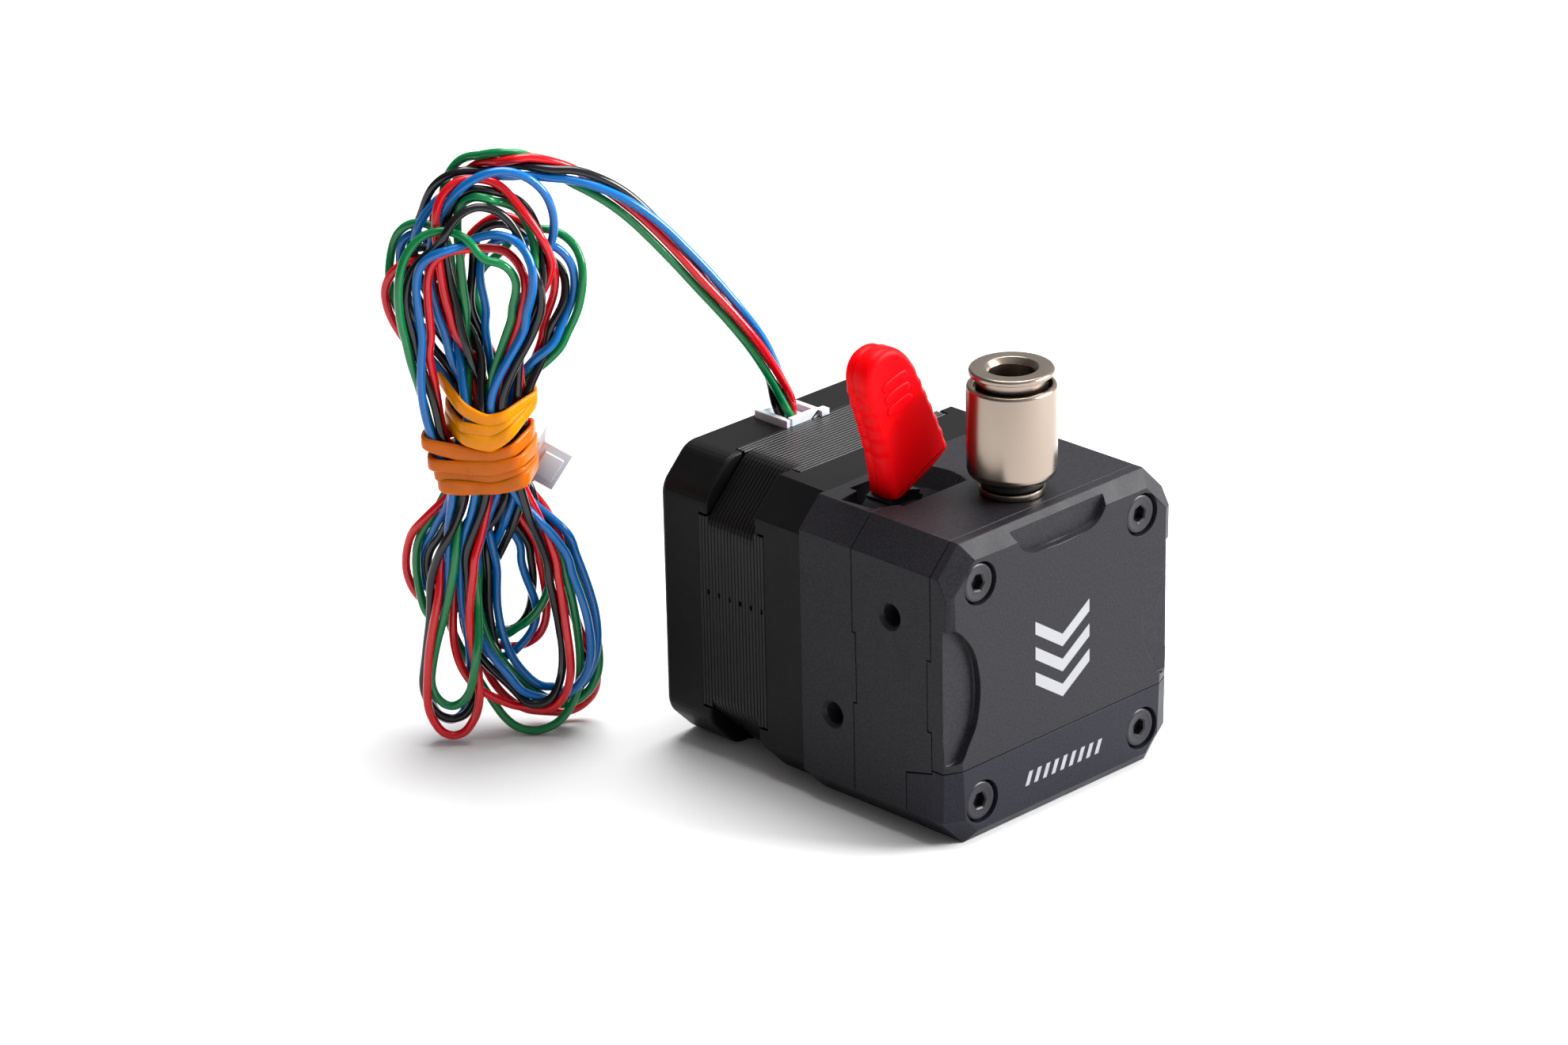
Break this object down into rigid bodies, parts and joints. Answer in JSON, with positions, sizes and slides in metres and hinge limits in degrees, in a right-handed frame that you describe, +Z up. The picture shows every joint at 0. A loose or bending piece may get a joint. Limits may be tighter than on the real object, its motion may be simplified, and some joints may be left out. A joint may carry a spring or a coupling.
{
  "type": "filament feeder",
  "caption": "Metal-cased filament feeder with a square stepper motor, a push-in tube fitting, a red release lever and a multicoloured motor lead tied in a hank.",
  "frame": {"origin": "on the ground under the middle of the body's width and depth, measured without the motor lead and its hank", "axes": "+Z up along the filament's path, -Y out of the front cover, +X to the right seen from the front"},
  "size_m": [0.0687, 0.0847, 0.0837],
  "materials": {
    "graphite": "fine satin anodised graphite grey",
    "blue_black": "fine satin anodised blue-black",
    "black_steel": "black oxide, satin",
    "bright_steel": "bright, ground",
    "nickel": "satin nickel plating, warm",
    "motor_black": "satin black",
    "laminations": "black, fine horizontal lamination edges",
    "copper": "enamelled copper wire",
    "red_plastic": "satin red, slightly translucent",
    "white_nylon": "natural nylon",
    "black_rubber": "matt black",
    "amber_rubber": "translucent amber",
    "wire_jacket": "glossy wire jackets: red, green, blue and black"
  },
  "bodies": {
    "housing": {"front_cover": "graphite", "lower_front_plate": "blue_black", "cover_screw_1": "black_steel", "cover_screw_2": "black_steel", "cover_screw_3": "black_steel", "cover_screw_4": "black_steel", "gear_housing": "graphite", "rear_housing": "graphite", "bearing_plate": "bright_steel", "drive_bearing_front": "bright_steel", "drive_bearing_rear": "bright_steel", "arm_pivot_pin": "bright_steel", "upper_filament_guide": "bright_steel", "lower_filament_guide": "bright_steel", "tension_spring": "bright_steel", "fitting_body": "nickel", "o_ring": "black_rubber", "collet_ring": "bright_steel", "motor_front_cap": "motor_black", "motor_rear_cap": "motor_black", "stator_stack": "laminations", "stator_windings": "copper", "motor_bearing_front": "bright_steel", "motor_bearing_rear": "bright_steel", "wave_washer": "bright_steel", "motor_screw_1": "black_steel", "motor_screw_2": "black_steel", "motor_screw_3": "black_steel", "motor_screw_4": "black_steel", "motor_socket": "white_nylon", "lead_plug": "white_nylon", "cord_lead": "wire_jacket", "cord_hank": "wire_jacket", "upper_band": "amber_rubber", "lower_band": "amber_rubber", "cord_plug": "white_nylon"},
    "rotor": {"motor_shaft": "bright_steel", "rotor_core": "laminations", "pinion": "bright_steel"},
    "drive_set": {"drive_shaft": "bright_steel", "drive_gear": "black_steel", "transmission_gear": "white_nylon"},
    "idler_arm_set": {"idler_arm": "black_steel", "idler_axle": "bright_steel"},
    "idler_wheel": {"idler_gear": "black_steel"},
    "lever": {"lever_cam": "black_steel", "release_lever": "red_plastic"},
    "collar": {"fitting_collar": "nickel"}
  },
  "joints": [
    {"name": "motor_spin", "type": "hinge", "parent": "housing", "child": "rotor", "pos_m": [0, 0.0131, 0.0212], "axis": [0, 1, 0], "continuous": true},
    {"name": "drive_spin", "type": "hinge", "parent": "housing", "child": "drive_set", "pos_m": [0.0056, -0.018, 0.01202], "axis": [0, 1, 0], "continuous": true},
    {"name": "lever_swing", "type": "hinge", "parent": "housing", "child": "lever", "pos_m": [-0.01, -0.0062, 0.036], "axis": [0, 1, 0], "range_deg": [0, 20]},
    {"name": "idler_swing", "type": "hinge", "parent": "housing", "child": "idler_arm_set", "pos_m": [-0.0065, -0.018, 0.0255], "axis": [0, 1, 0], "range_deg": [0, 6.5], "deforming": ["tension_spring"]},
    {"name": "idler_spin", "type": "hinge", "parent": "idler_arm_set", "child": "idler_wheel", "pos_m": [-0.0056, -0.018, 0.01202], "axis": [0, 1, 0], "continuous": true},
    {"name": "collar_slide", "type": "slide", "parent": "housing", "child": "collar", "axis": [0, 0, -1], "range_m": [0, 0.0013], "stiffness_N_per_m": 1500}
  ],
  "couplings": [
    {"joint": "drive_spin", "follows": "motor_spin", "ratio": -0.30303},
    {"joint": "idler_spin", "follows": "motor_spin", "ratio": 0.30303},
    {"joint": "idler_swing", "follows": "lever_swing", "ratio": 0.325}
  ]
}
